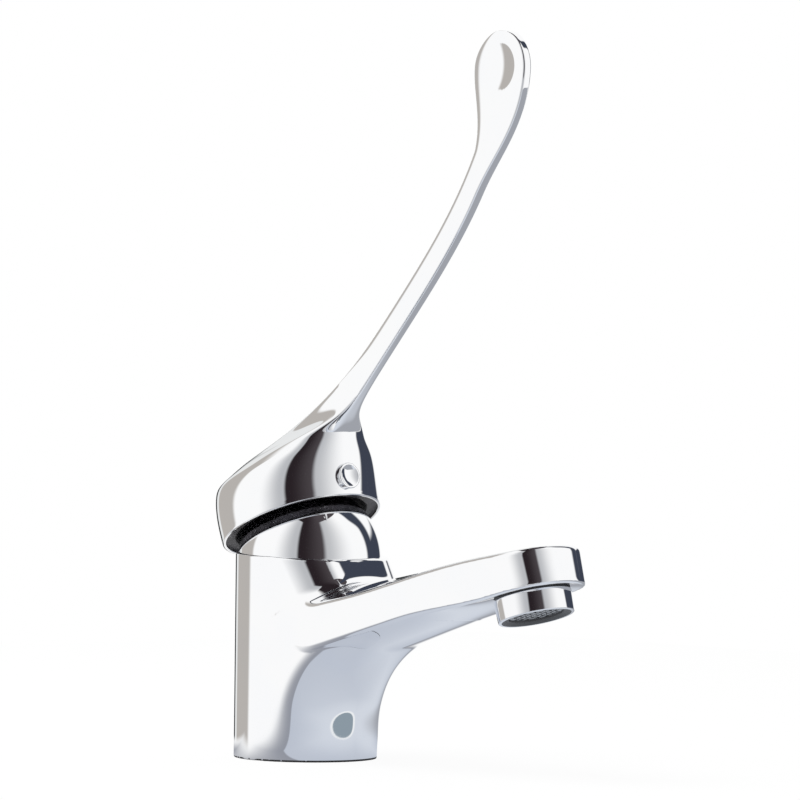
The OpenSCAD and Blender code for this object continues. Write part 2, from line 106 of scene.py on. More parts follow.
def mix(a, b, t):
    """Straight blend from a to b."""
    return a + (b - a) * t


def ease(t):
    """Half a cosine wave from 0 to 1, held outside."""
    return (1 - np.cos(np.pi * np.clip(t, 0, 1))) / 2


def eased(x, run):
    """Ease from 0 to 1 along a run of a start and a length."""
    return ease((x - run[0]) / run[1])


def soft_max(a, b, k):
    """Larger of two fields, with the crease rounded by a parabola over a width k."""
    h = np.maximum(k - np.abs(a - b), 0)
    return np.maximum(a, b) + h * h / (4 * k)


def soft_min(a, b, k):
    """Smaller of two fields, with the crease filled by a parabola over a width k."""
    return -soft_max(-a, -b, k)


def bezier(points, t):
    """Cubic curve through the first and last of four points, pulled by the middle two."""
    a, b, c, d = (np.asarray(p, float) for p in points)
    t = np.asarray(t, float)[..., None]
    s = 1 - t
    return s ** 3 * a + 3 * s * s * t * b + 3 * s * t * t * c + t ** 3 * d


def bezier_heading(points, t):
    """Unit direction of the cubic curve."""
    a, b, c, d = (np.asarray(p, float) for p in points)
    t = np.asarray(t, float)[..., None]
    s = 1 - t
    way = s * s * (b - a) + 2 * s * t * (c - b) + t * t * (d - c)
    return way / np.linalg.norm(way, axis=-1, keepdims=True)


def tilted(points, angle, origin):
    """Points of a frame that leans back by an angle about Y, set at an origin."""
    x, y, z = np.moveaxis(np.asarray(points, float), -1, 0)
    c, s = math.cos(angle), math.sin(angle)
    return np.stack([x * c - z * s + origin[0], y + origin[1], x * s + z * c + origin[2]], -1)


def on_lever(points):
    """From the closed lever frame to the raised lever."""
    return tilted(points, LIFT, (AXIS_X, 0, PIVOT_Z))


def on_outlet(points):
    """From the outlet frame, whose Z runs up into the spout, to the tap."""
    return tilted(points, KEEL_RISE, (OUTLET_X, 0, KEEL_Z))


def on_plug(points):
    """From the plug frame, whose Z points out of the cap, to the raised lever."""
    return on_lever(tilted(points, -math.pi / 2 - PLUG_LEAN, (PLUG_AT[0], 0, PLUG_AT[1])))


def on_axis(points):
    """From the cartridge axis to the tap."""
    return np.asarray(points, float) + (AXIS_X, 0, 0)


def place(name, points, quads, body, nodes, finishes, normals=None, coats=None):
    """Puts points and quads into a mesh at the origin. Points that coincide become one, quads with two
    such corners become triangles, and the faces are turned so that the enclosed volume is positive. A
    number per quad in coats chooses its material among the finishes."""
    key = np.round(points / WELD).astype(np.int64)
    _, first, back = np.unique(key, axis=0, return_index=True, return_inverse=True)
    points = points[first]
    quads = back.reshape(-1)[quads]
    same = quads == np.roll(quads, -1, axis=1)
    thin = same.sum(1)
    whole = quads[thin == 0]
    start = np.argmax(same[thin == 1], axis=1)
    turn = (start[:, None] + np.array([1, 2, 3])) % 4
    corners = np.take_along_axis(quads[thin == 1], turn, axis=1)
    tris = np.concatenate([whole[:, [0, 1, 2]], whole[:, [0, 2, 3]], corners])
    a, b, c = (points[tris[:, i]] for i in range(3))
    if np.einsum("ij,ij->i", a, np.cross(b, c)).sum() < 0:
        whole, corners = whole[:, ::-1], corners[:, ::-1]
    mesh = bpy.data.meshes.new(name)
    mesh.from_pydata((points * MM).tolist(), [], whole.tolist() + corners.tolist())
    mesh.shade_smooth()
    if coats is not None:
        mesh.polygons.foreach_set("material_index", np.concatenate([coats[thin == 0], coats[thin == 1]]))
    if normals is None:
        mesh.set_sharp_from_angle(angle=SHARP)
    else:
        mesh.normals_split_custom_set_from_vertices(normals[first].tolist())
    piece = bpy.data.objects.new(name, mesh)
    bpy.context.scene.collection.objects.link(piece)
    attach(piece, body)
    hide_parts(*nodes)
    for coat in finishes:
        mesh.materials.append(coat)


def grid_quads(rows, columns):
    """Quads of a grid whose columns close on themselves."""
    i, j = np.meshgrid(np.arange(rows - 1), np.arange(columns), indexing="ij")
    k = (j + 1) % columns
    return np.stack([i * columns + j, i * columns + k, (i + 1) * columns + k, (i + 1) * columns + j],
                    -1).reshape(-1, 4)


def rounded(corners, count=6):
    """Profile through (radius, height, rounding) corners: each corner is cut back by its rounding along
    both sides and bridged by a parabola."""
    path = np.array([c[:2] for c in corners], float)
    cut = np.array([c[2] for c in corners], float)
    before, after = np.roll(path, 1, axis=0), np.roll(path, -1, axis=0)
    inward, onward = before - path, after - path
    reach_in, reach_on = np.linalg.norm(inward, axis=1), np.linalg.norm(onward, axis=1)
    a = path + inward * (np.minimum(cut, reach_in * 0.49) / np.maximum(reach_in, 1e-9))[:, None]
    b = path + onward * (np.minimum(cut, reach_on * 0.49) / np.maximum(reach_on, 1e-9))[:, None]
    t = np.linspace(0, 1, count)[None, :, None]
    arcs = (1 - t) ** 2 * a[:, None] + 2 * t * (1 - t) * path[:, None] + t * t * b[:, None]
    return arcs.reshape(-1, 2)


def turned(profile, count, frame_of):
    """Surface of revolution: the closed profile of (radius, height) carried round Z, then set in a frame."""
    loop = np.concatenate([profile, profile[:1]])
    w = np.linspace(0, 2 * np.pi, count, endpoint=False)
    points = np.stack([loop[:, :1] * np.cos(w), loop[:, :1] * np.sin(w),
                       np.repeat(loop[:, 1:], count, axis=1)], -1)
    return frame_of(points).reshape(-1, 3), grid_quads(len(loop), count)


def dome_arc(radius, low, high, count):
    """Points (radius, height) on an arc about the pivot between two angles."""
    rise = np.linspace(low, high, count)
    return np.stack([radius * np.cos(rise), PIVOT_Z + radius * np.sin(rise)], 1)


# Tap body

FLANK_TURN = math.asin((COLLAR_R - FLANK_IN - TIP_R) / (OUTLET_X - AXIS_X))


def trunk_at(z):
    """Centre and radius of the trunk at a height."""
    return AXIS_X * z / BODY_H, mix(FOOT_R, COLLAR_R, z / BODY_H)


def flank_field(x, y, z):
    """Distance to two planes that leave the trunk gently and narrow to the tip."""
    mid, r = trunk_at(z)
    sink = FLANK_SINK + FLANK_EASE * np.maximum(FLANK_FROM - x, 0) ** 2
    return (x - mid) * math.sin(FLANK_TURN) + np.abs(y) * math.cos(FLANK_TURN) - r + sink


def cut_top(form, x, z):
    """A field cut by the leaning top of the collar."""
    return soft_max(form, z - BODY_H + (x - AXIS_X) * TOP_LEAN, TOP_ROUND)


def trunk_field(x, y, z):
    """Distance to a leaning cone from the foot to the collar, cut by the top and by the deck."""
    mid, r = trunk_at(z)
    return soft_max(cut_top(np.hypot(x - mid, y) - r, x, z), -z, FOOT_ROUND)


def collar_front(x, y, z):
    """Distance to a round column that leans out of the collar towards the spout, cut by the flat facet."""
    mid, r = trunk_at(z)
    lean = SKIRT_OUT + SKIRT_SLOPE * (BODY_H - z)
    s, c = math.sin(FLANK_TURN), math.cos(FLANK_TURN)
    past = (x - mid - lean) * c - np.abs(y) * s
    nose = np.hypot(x - mid - lean, y) - (r - FLANK_SINK - lean * s)
    column = np.where(past < 0, flank_field(x, y, z), nose)
    column = column / np.hypot(1, SKIRT_SLOPE * np.clip((x - mid - lean) / r, 0, 1))
    facet = (x - FACET_X) * math.cos(FACET_LEAN) + (z - BODY_H) * math.sin(FACET_LEAN)
    return cut_top(soft_max(column, facet, FACET_ROUND), x, z)


def outlet_frame(x, z):
    """Distance ahead of the outlet's middle, and height above its mouth, along the leaning outlet."""
    s, c = math.sin(KEEL_RISE), math.cos(KEEL_RISE)
    return (x - OUTLET_X) * c + (z - KEEL_Z) * s, (OUTLET_X - x) * s + (z - KEEL_Z) * c


def spout_field(x, y, z):
    """The underside and the crown, both rising and bowed across, though the underside turns hollow at the
    outlet. The front of the collar is filled in on the crown. All is cut by the flanks, which run into a
    squarish round nose that leans back with the outlet."""
    flank = flank_field(x, y, z)
    ahead, _ = outlet_frame(x - NOSE_OUT, z)
    _, low = outlet_frame(x, z)
    onward = np.maximum(ahead, 0)
    half = np.maximum(np.abs(y) - flank / math.cos(FLANK_TURN), 1)
    level = ((onward / TIP_R) ** NOSE_SQUARE + (np.abs(y) / half) ** NOSE_SQUARE + TINY) ** (1 / NOSE_SQUARE)
    plan = np.where(ahead > 0, np.hypot(onward, y) * (1 - 1 / level), flank)
    hollow = OUTLET_HOLLOW - HOLLOW_BOW * (y * y + np.maximum(x - OUTLET_X, 0) ** 2)
    keel = mix(y * y * 0.5 / KEEL_R, hollow, eased(x, HOLLOW_RUN)) - low
    outward = eased(x, CROWN_RUN)
    high = (AXIS_X + COLLAR_R - x) * math.sin(TOP_RISE) + (z - TOP_Z) * math.cos(TOP_RISE)
    crown = y * y * mix(0.5 / CROWN_R, TIP_BOW, outward) + high - TIP_LIFT * outward
    top = soft_min(crown, collar_front(x, y, z), CREASE_FILL + TOP_FILL * eased(x, FILL_RUN))
    under = soft_max(plan, keel, KEEL_ROUND + ROOT_ROUND * (1 - eased(x, ROOT_RUN)))
    return np.maximum(soft_max(under, top, CROWN_ROUND), AXIS_X + 2 - x)


def keel_at(x):
    """Height of the straight underside."""
    return KEEL_Z + (x - OUTLET_X) * math.tan(KEEL_RISE)


THROAT_TOP = keel_at(THROAT_X)
THROAT_EDGE = [(FOOT_R - 0.3, 1), (23, 20.1), (19.4, 34.25), (THROAT_X, THROAT_TOP + 0.3)]


def throat_reach(x, y, z):
    """Level distance to a section that is round at the sides of the body and drawn out to the front edge,
    which climbs along a cubic curve from the foot into the underside."""
    edge = bezier(THROAT_EDGE, np.linspace(0, 1, 400))
    front = np.interp(z, edge[:, 1], edge[:, 0])
    power = 2 + THROAT_BLUNT * ease(z / THROAT_BLUNT_Z)
    mid, r = trunk_at(z)
    u = np.maximum(x - mid, 0) / (front - mid)
    v = np.abs(y) / (r - THROAT_IN)
    level = (u ** power + v ** power + TINY) ** (1 / power)
    return np.hypot(np.maximum(x - mid, 0), y) * (1 - 1 / level)


def throat_field(x, y, z, h=0.25):
    """Level distance divided by its own slope, which gives the true distance near the surface."""
    reach = throat_reach(x, y, z)
    rise = throat_reach(x, y, z + h) - throat_reach(x, y, z - h)
    form = soft_max(reach / np.hypot(1, rise / (2 * h)), flank_field(x, y, z) + THROAT_SINK, THROAT_ROUND)
    return np.maximum(np.maximum(form, z - THROAT_TOP), 1 - x)


def bores_field(x, y, z):
    """Smallest of the distances to the bores: cartridge chamber, nut thread, two inlets with their ports,
    stud hole, seal groove under the foot, and the stepped seat of the aerator."""
    r = np.hypot(x - AXIS_X, y)
    inlet = np.hypot(x - INLET_X, np.abs(y) - INLET_Y)
    along, up = outlet_frame(x, z)
    cut = np.maximum(r - CHAMBER_R, CHAMBER_FROM - z)
    cut = np.minimum(cut, np.maximum(r - NUT_BORE_R, NUT_BORE_FROM - z))
    cut = np.minimum(cut, np.maximum(inlet - INLET_R, z - INLET_TOP))
    cut = np.minimum(cut, np.maximum(inlet - PORT_R, z - PORT_TOP))
    cut = np.minimum(cut, np.maximum(np.hypot(x - STUD_X, y) - STUD_R, z - STUD_TOP))
    cut = np.minimum(cut, np.maximum(np.abs(np.hypot(x, y) - GROOVE_R) - GROOVE_HALF, z - GROOVE_TOP))
    for radius, depth in SEAT_STEPS:
        cut = np.minimum(cut, np.maximum(np.hypot(along, y) - radius, up - depth))
    return cut


def body_field(x, y, z):
    """Trunk, throat and spout run together with filled creases, less the bores."""
    form = soft_min(trunk_field(x, y, z), throat_field(x, y, z), THROAT_FILL)
    form = soft_min(form, spout_field(x, y, z), CREASE_FILL)
    return soft_max(form, -bores_field(x, y, z), BORE_ROUND)


def field_slope(field, points, h=0.02):
    """Gradient of a field by central differences."""
    x, y, z = points.T
    return np.stack([field(x + h, y, z) - field(x - h, y, z), field(x, y + h, z) - field(x, y - h, z),
                     field(x, y, z + h) - field(x, y, z - h)], -1) / (2 * h)


def field_skin(field, low, high, step):
    """Zero surface of a field on a cubic grid: each cell that the surface crosses gets one point, the mean
    of the crossings on its edges, which is then moved along the gradient onto the surface, but not below
    the deck. Each grid edge that changes sign gets the quad of its four cells."""
    axes = [np.arange(a, b + step, step) for a, b in zip(low, high)]
    x, y, z = np.meshgrid(*axes, indexing="ij", sparse=True)
    value = np.broadcast_to(field(x, y, z), [len(a) for a in axes])
    inside = value < 0
    size = np.array(value.shape) - 1

    def part(array, corner):
        """View of an array shifted to one corner of every cell."""
        return array[tuple(slice(c, c + n) for c, n in zip(corner, size))]

    total, count = np.zeros((*size, 3)), np.zeros(size)
    for axis in range(3):
        for a, b in ((0, 0), (0, 1), (1, 0), (1, 1)):
            near = np.insert([a, b], axis, 0)
            far = np.insert([a, b], axis, 1)
            va, vb = part(value, near), part(value, far)
            cross = part(inside, near) != part(inside, far)
            t = np.where(cross, va / np.where(cross, va - vb, 1), 0)
            for k in range(3):
                total[..., k] += np.where(cross, near[k] + (t if k == axis else 0), 0)
            count += cross
    used = count > 0
    number = np.full(size, -1)
    number[used] = np.arange(used.sum())
    cells = np.argwhere(used)
    points = (cells + total[used] / count[used][:, None]) * step + np.array(low)
    quads = []
    for axis in range(3):
        span = [slice(1, n) for n in size]
        span[axis] = slice(0, size[axis])
        ahead = list(span)
        ahead[axis] = slice(1, size[axis] + 1)
        one, two = inside[tuple(span)], inside[tuple(ahead)]
        cell = np.argwhere(one != two) + np.where(np.arange(3) == axis, 0, 1)
        flip = one[one != two]
        u, v = np.eye(3, dtype=int)[(axis + 1) % 3], np.eye(3, dtype=int)[(axis + 2) % 3]
        four = np.stack([number[tuple((cell - d).T)] for d in (0 * u, u, u + v, v)], -1)
        quads.append(np.where(flip[:, None], four, four[:, ::-1]))
    for _ in range(SNAP_PASSES):
        slope = field_slope(field, points)
        move = field(*points.T)[:, None] * slope / np.maximum((slope ** 2).sum(1), 0.2)[:, None]
        points = points - np.clip(move, -step / 2, step / 2)
    points[:, 2] = np.maximum(points[:, 2], 0)
    slope = field_slope(field, points)
    return points, np.concatenate(quads), slope / np.linalg.norm(slope, axis=1, keepdims=True)


# Lever

ARM_ROOT = np.array([RIM_R + ROOT_OUT, RIM_Z + ROOT_UP])
ARM = [ARM_ROOT + np.array(pull) * (ARM_REACH, ARM_RISE) for pull in ARM_PULLS]


def arm_up(t):
    """Unit direction across the arm, towards its upper side."""
    way = bezier_heading(ARM, t)
    return np.stack([-way[..., 1], way[..., 0]], -1)


def blade_height(far, shoulder, soft):
    """Half height of the blade: a circle round the paddle, then a shoulder that falls to the arm."""
    u = np.clip(1 - (far - PADDLE_R) / shoulder, 0, 1)
    disc = np.sqrt(np.maximum(PADDLE_R ** 2 - (PADDLE_R - far) ** 2, 0))
    fall = mix(np.sin(np.pi / 2 * u), ease(u), soft)
    return np.where(far < PADDLE_R, disc, ARM_H + (PADDLE_R - ARM_H) * fall)


def root_swell(t):
    """Extra height on the upper side of the arm near its root."""
    return ROOT_SWELL * (1 - np.clip(t / SWELL_RUN, 0, 1)) ** 2


def lever_rows(back, front, half, square, egg, count):
    """Closed rings, each a rounded rectangle of a given squareness between a back and a front point, with
    a half width that leans towards the back by the share egg."""
    w = np.linspace(0, 2 * np.pi, count, endpoint=False)
    square = np.broadcast_to(square, half.shape)[:, None]
    egg = np.broadcast_to(egg, half.shape)[:, None]
    reach = (np.abs(np.cos(w)) ** square + np.abs(np.sin(w)) ** square) ** (-1 / square)
    c, s = reach * np.cos(w), reach * np.sin(w)
    mid, axis = (back + front) / 2, (front - back) / 2
    y = half[:, None] * s * (1 - egg * c)
    return np.stack([mid[:, :1] + axis[:, :1] * c, y, mid[:, 1:] + axis[:, 1:] * c], -1)


def hollow_rows(count):
    """Round rings from the crown of the inner hollow, down the hollow and round the lip of the rim."""
    lip_z = RIM_Z + LIP_H
    lip = math.acos(lip_z / CAVITY_R)
    lip_r = CAVITY_R * math.sin(lip)
    sweep = np.linspace(0, lip, HOLLOW_ROWS)[:-1]
    edge = rounded([(lip_r - 2, lip_z + 3, 0), (lip_r, lip_z, 0.2), (LIP_R, lip_z, 0.4), (LIP_R, RIM_Z, 0.3),
                    (RIM_R, RIM_Z, 0.5), (RIM_R, RIM_Z + 3, 0)], 8)[8:40]
    r = np.concatenate([CAVITY_R * np.sin(sweep), edge[:, 0]])
    z = np.concatenate([CAVITY_R * np.cos(sweep), edge[:, 1]])
    return lever_rows(np.stack([-r, z], 1), np.stack([r, z], 1), r, 2.0, 0.0, count)


def cap_rows(count):
    """Rings from the rim to the root of the arm. The back climbs first and then runs to the root, the front
    follows a cubic curve with a bulge, and the width narrows to the blade while the rings grow squarer."""
    up = arm_up(0)
    root_back = ARM_ROOT + (ARM_H + root_swell(0)) * up
    root_front = ARM_ROOT - ARM_H * up
    rim_back, rim_front = np.array([-RIM_R, RIM_Z]), np.array([RIM_R, RIM_Z])
    sweep_up = [rim_front, rim_front + FRONT_PULL * np.array([math.sin(FRONT_LEAN), math.cos(FRONT_LEAN)]),
                root_front - ROOT_PULL * bezier_heading(ARM, 0), root_front]
    t = np.linspace(0.03, 0.985, 150)
    climb = (1 - (1 - np.clip(t / BACK_SHARE, 0, 1)) ** 1.8)[:, None]
    run_up = (np.clip((t - BACK_SHARE) / (1 - BACK_SHARE), 0, 1) ** 1.8)[:, None]
    back = mix(rim_back, CAP_BACK, climb) + (root_back - CAP_BACK) * run_up - np.sin(np.pi * climb) * (0.5, 0)
    bulge = np.stack([FRONT_BULGE * np.sin(np.pi * np.clip(t / 0.85, 0, 1)) ** 2, 0 * t], 1)
    front = bezier(sweep_up, t ** 1.08) + bulge
    width = mix((1 - t ** 2.2) ** 0.7, 0.5 + 0.5 * np.cos(np.pi * t ** 2.35), ease((t - 0.5) / 0.35))
    square = 2 + 0.15 * np.sin(np.pi * t) + 4 * ease((t - 0.6) / 0.4)
    egg = 0.057 * np.sin(np.pi * t) + 0.25 * ease((t - 0.55) / 0.25) * ease((1 - t) / 0.2)
    return lever_rows(back, front, BLADE_T + (RIM_R - BLADE_T) * width, square, egg, count)


def blade_rows(count):
    """Rings along the arm to the end of the paddle, closer together towards the end."""
    ending = mix(0.8, 1, np.sin(np.linspace(0.02, 1, 60) * np.pi / 2))
    t = np.concatenate([np.linspace(0.01, 0.8, 124), ending])
    spine, up = bezier(ARM, t), arm_up(t)
    far = np.linalg.norm(ARM[3] - spine, axis=1)
    upper = spine + (blade_height(far, 27, 0.6) + root_swell(t))[:, None] * up
    lower = spine - blade_height(far, 38, 1.0)[:, None] * up
    return lever_rows(upper, lower, np.full(len(t), BLADE_T), BLADE_SQUARE, 0.0, count)


def run_together(cap, blade):
    """Cap and blade with each ring near their meeting drawn towards the mean of its neighbours, by a share
    that fades out on both sides."""
    join = np.concatenate([cap, blade])
    near = np.arange(len(join)) - len(cap)
    share = (ease((near + 95) / 30) * ease((60 - near) / 35))[1:-1, None, None]
    for _ in range(SMOOTH_PASSES):
        join[1:-1] += 0.25 * share * (join[:-2] + join[2:] - 2 * join[1:-1])
    return join[:len(cap)], join[len(cap):]


def press_dish(blade):
    """Holds the half width of the blade down to a ball pressed into both flanks of the paddle."""
    ball = (DISH_R ** 2 + DISH_DEEP ** 2) / (2 * DISH_DEEP)
    spot = bezier(ARM, DISH_AT)
    off = np.hypot(blade[..., 0] - spot[0], blade[..., 2] - spot[1])
    deep = np.sqrt(np.maximum(ball ** 2 - off ** 2, 0)) - (ball - DISH_DEEP)
    limit = BLADE_T - np.maximum(deep, 0)
    blade[..., 1] = np.sign(blade[..., 1]) * np.minimum(np.abs(blade[..., 1]), limit)


def lever_surface(count=216):
    """Rings from the crown of the inner hollow, round the rim, up the cap and along the blade, with a dish
    in both flanks of the paddle. The quads of the hollow and of the inner lip get the number 1."""
    cap, blade = run_together(cap_rows(count), blade_rows(count))
    press_dish(blade)
    rows = np.concatenate([hollow_rows(count), cap, blade])
    # The hollow and the inner lip of the cap take the second finish, painted nearly black as shade
    inside = np.repeat(np.arange(len(rows) - 1) < HOLLOW_ROWS + LIP_ROWS, count).astype(np.int32)
    return on_lever(rows).reshape(-1, 3), grid_quads(len(rows), count), inside


# Materials

class Wire:
    """A socket of a node tree. Arithmetic on it adds Math nodes, and node() adds any other node."""

    def __init__(self, tree, socket=None):
        self.tree = tree
        self.socket = socket

    def node(self, kind, settings=None, inputs=None, out=0):
        """Adds a node: its settings first, then the values or links of its sockets."""
        made = self.tree.nodes.new(kind)
        for key, value in (settings or {}).items():
            if key == "stops":
                ramp = made.color_ramp.elements
                while len(ramp) < len(value):
                    ramp.new(0.5)
                for stop, (at, colour) in zip(ramp, value):
                    stop.position = at
                    stop.color = (*colour, 1)
            else:
                setattr(made, key, value)
        for key, value in (inputs or {}).items():
            if isinstance(value, Wire):
                self.tree.links.new(value.socket, made.inputs[key])
            else:
                made.inputs[key].default_value = value
        return Wire(self.tree, made.outputs[out])

    def other(self, name):
        """Another output of the node that this socket belongs to."""
        return Wire(self.tree, self.socket.node.outputs[name])

    def math(self, operation, *values):
        """One Math node."""
        return self.node("ShaderNodeMath", {"operation": operation}, dict(enumerate(values)))

    def __add__(self, v):
        return self.math("ADD", self, v)

    def __radd__(self, v):
        return self.math("ADD", v, self)

    def __sub__(self, v):
        return self.math("SUBTRACT", self, v)

    def __rsub__(self, v):
        return self.math("SUBTRACT", v, self)

    def __mul__(self, v):
        return self.math("MULTIPLY", self, v)

    def __rmul__(self, v):
        return self.math("MULTIPLY", v, self)

    def step(self, low, high):
        """Smooth step from 0 at low to 1 at high."""
        return self.node("ShaderNodeMapRange", {"interpolation_type": "SMOOTHSTEP"},
                         {"Value": self, "From Min": low, "From Max": high})

    def blend(self, first, second):
        """Colour that goes from the first to the second as this value goes from 0 to 1."""
        ends = {0: self, 6: shade(first), 7: shade(second)}
        return self.node("ShaderNodeMix", {"data_type": "RGBA"}, ends, 2)


def shade(colour):
    """Colour for a socket: a triple gets its alpha, a wire stays."""
    return colour if isinstance(colour, Wire) else (*colour, 1)


def finish(name):
    """New material with a Principled shader: its wire, and a call that sets the shader's sockets."""
    made = bpy.data.materials.new(name)
    made.use_nodes = True
    tree = made.node_tree
    shader = tree.nodes["Principled BSDF"]

    def feed(**sockets):
        """Sets each named socket to a value, or links a wire to it."""
        for key, value in sockets.items():
            socket = shader.inputs[key.replace("_", " ").title().replace("Ior", "IOR")]
            if isinstance(value, Wire):
                tree.links.new(value.socket, socket)
            else:
                socket.default_value = value

    return made, Wire(tree), feed


def millimetres(wire, size):
    """Object coordinates scaled so that one unit of a texture is the given size in millimetres."""
    spot = wire.node("ShaderNodeTexCoord", out="Object")
    return wire.node("ShaderNodeMapping", None, {"Vector": spot, "Scale": (1000 / size,) * 3})


def noise(wire, size, detail):
    """Cloud pattern with features of the given size in millimetres."""
    return wire.node("ShaderNodeTexNoise", None,
                     {"Vector": millimetres(wire, size), "Scale": 1.0, "Detail": detail, "Roughness": 0.5})


def bump(wire, height, strength, depth):
    """Normal from a height pattern, with the depth in millimetres."""
    return wire.node("ShaderNodeBump", None, {"Height": height, "Strength": strength, "Distance": depth * MM})


def polished_chrome(name, tint):
    """Plated mirror: faint wiping haze in the gloss, very slight waves from hand polishing."""
    made, wire, feed = finish(name)
    haze = noise(wire, 18, 4).step(0.35, 0.75)
    wisp = noise(wire, 2.5, 3).step(0.55, 0.8)
    cool = tuple(c * k for c, k in zip(tint, (0.985, 0.99, 1.0)))
    feed(base_color=haze.blend(tint, cool), metallic=1.0, roughness=0.022 + 0.02 * haze + 0.012 * wisp,
         normal=bump(wire, noise(wire, 14, 1), 0.05, 0.04))
    return made


def moulded(name, colour, gloss):
    """Injection moulded plastic: cloudy colour and a fine spark-eroded grain."""
    made, wire, feed = finish(name)
    cloud = noise(wire, 9, 3)
    dark = tuple(c * 0.86 for c in colour)
    feed(base_color=cloud.blend(dark, colour), roughness=gloss + 0.12 * cloud,
         normal=bump(wire, noise(wire, 0.25, 2), 0.25, 0.02))
    return made


def soft_rubber(name):
    """Black sealing rubber: dusty bloom over a matt grain."""
    made, wire, feed = finish(name)
    bloom = noise(wire, 3, 5).step(0.45, 0.85)
    feed(base_color=bloom.blend((0.018, 0.018, 0.019), (0.055, 0.055, 0.057)), roughness=0.62 + 0.2 * bloom,
         normal=bump(wire, noise(wire, 0.35, 3), 0.3, 0.03))
    return made


def lapped_ceramic(name):
    """White valve ceramic: faint speckle, lapped almost to a mirror."""
    made, wire, feed = finish(name)
    speck = noise(wire, 0.4, 2).step(0.62, 0.72)
    feed(base_color=speck.blend((0.9, 0.885, 0.84), (0.8, 0.78, 0.72)), roughness=0.13 + 0.1 * speck,
         normal=bump(wire, noise(wire, 0.3, 1), 0.08, 0.01))
    return made


def turned_metal(name, colour, pitch, gloss):
    """Turned metal: fine tool rings round the upright axis over a cloudy tarnish."""
    made, wire, feed = finish(name)
    spot = millimetres(wire, pitch)
    rings = wire.node("ShaderNodeTexWave", {"wave_type": "RINGS", "rings_direction": "Z"},
                      {"Vector": spot, "Scale": 0.3, "Distortion": 0.6, "Detail": 1.0}, "Fac")
    tarnish = noise(wire, 6, 4).step(0.4, 0.8)
    dark = tuple(c * 0.72 for c in colour)
    feed(base_color=tarnish.blend(colour, dark), metallic=1.0, roughness=gloss + 0.1 * tarnish + 0.06 * rings,
         normal=bump(wire, rings, 0.12, 0.01))
    return made


def painted_hollow_shade(name):
    """Inside of the die-cast cap, painted nearly black as shade in its hollow: cloudy flow marks and a
    coarse grain under a thin film of plating.
    """
    made, wire, feed = finish(name)
    flow = noise(wire, 5, 4).step(0.35, 0.7)
    spark = noise(wire, 0.7, 2).step(0.68, 0.74)
    feed(base_color=spark.blend(flow.blend((0.022, 0.02, 0.024), (0.06, 0.055, 0.065)), (0.5, 0.5, 0.54)),
         metallic=0.6, roughness=0.42 - 0.2 * spark, normal=bump(wire, noise(wire, 0.6, 3), 0.3, 0.05))
    return made


chrome = polished_chrome("polished_chrome", (0.955, 0.957, 0.962))
# Painted shade for the hollow of the lever cap
cap_hollow_shade = painted_hollow_shade("painted_hollow_shade")
ring_chrome = polished_chrome("aerator_chrome", (0.94, 0.942, 0.95))
# This black finish also paints the contact shadow along the foot of the body
rubber_and_foot_shadow = soft_rubber("sealing_rubber_and_foot_shadow")
ceramic = lapped_ceramic("lapped_ceramic")
white_plastic = moulded("natural_acetal", (0.82, 0.81, 0.76), 0.34)
# This dark finish also paints the shade inside the aerator mouth and along the top of its wall
dark_plastic_and_shade = moulded("dark_moulding_and_shade", (0.045, 0.045, 0.05), 0.38)
red_plastic = moulded("limit_red", (0.5, 0.03, 0.02), 0.36)
brass = turned_metal("turned_brass", (0.78, 0.58, 0.25), 0.5, 0.22)
steel = turned_metal("satin_steel", (0.56, 0.57, 0.58), 0.4, 0.26)

FINISHES = {
    rubber_and_foot_shadow: ("base_seal", "port_seals", "body_ring", "aerator_seal"),
    ceramic: ("fixed_disc", "moving_disc"),
    white_plastic: ("cartridge_base", "disc_carrier", "turret", "aerator_insert"),
    dark_plastic_and_shade: ("cartridge_housing",),
    red_plastic: ("limit_ring",),
    brass: ("retaining_nut", "stem"),
    steel: ("stem_pin", "grub_screw", "aerator_screen"),
}
for coat, names in FINISHES.items():
    for name in names:
        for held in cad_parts[name].material_slots:
            held.material = coat

# Pieces

points, quads, normals = field_skin(body_field, SKIN_LOW, SKIN_HIGH, SKIN_STEP)
# The strip of the body at the foot takes the black rubber finish as painted contact shadow
foot = (points[quads][..., 2].mean(1) < FOOT_SHADOW_LINE).astype(np.int32)
place("cast_body", points, quads, "tap", ["tap_body"], (chrome, rubber_and_foot_shadow), normals, foot)

points, quads, inside = lever_surface()
place("elbow_lever", points, quads, "lever", ["lever"], (chrome, cap_hollow_shade), coats=inside)

inner_r, seat_z = DOME_R - DOME_WALL, BODY_H + DOME_SEAT_H
outer = dome_arc(DOME_R, math.asin((BODY_H - PIVOT_Z) / DOME_R), math.acos(DOME_MOUTH / DOME_R), 40)
inner = dome_arc(inner_r, math.acos(DOME_MOUTH / inner_r), math.asin((seat_z - PIVOT_Z) / inner_r), 24)
seat = np.array([[DOME_SEAT_R, seat_z], [DOME_SEAT_R, BODY_H]])
points, quads = turned(np.concatenate([outer, inner, seat]), 160, on_axis)
low_share = np.clip((UPRIGHT_Z - points[:, 2]) / LEANING_H, 0, 1)
points[:, 2] -= (points[:, 0] - AXIS_X) * TOP_LEAN * low_share
place("dome_cover_shell", points, quads, "tap", ["dome_cover"], (chrome,))

dish, face_r = np.linspace(0, 1, 14), PLUG_R - PLUG_EDGE
face = np.stack([dish * face_r, PLUG_DISH * (dish ** 2 - 1)], 1)
plug_wall = rounded([(0, -PLUG_T, 0), (PLUG_R, -PLUG_T, 0.2), (PLUG_R, 0, 0.45), (face_r, 0, 0.2)], 6)[6:24]
points, quads = turned(np.concatenate([[[0, -PLUG_T]], plug_wall, face[::-1]]), 72, on_plug)
place("index_button", points, quads, "lever", ["index_plug"], (chrome,))

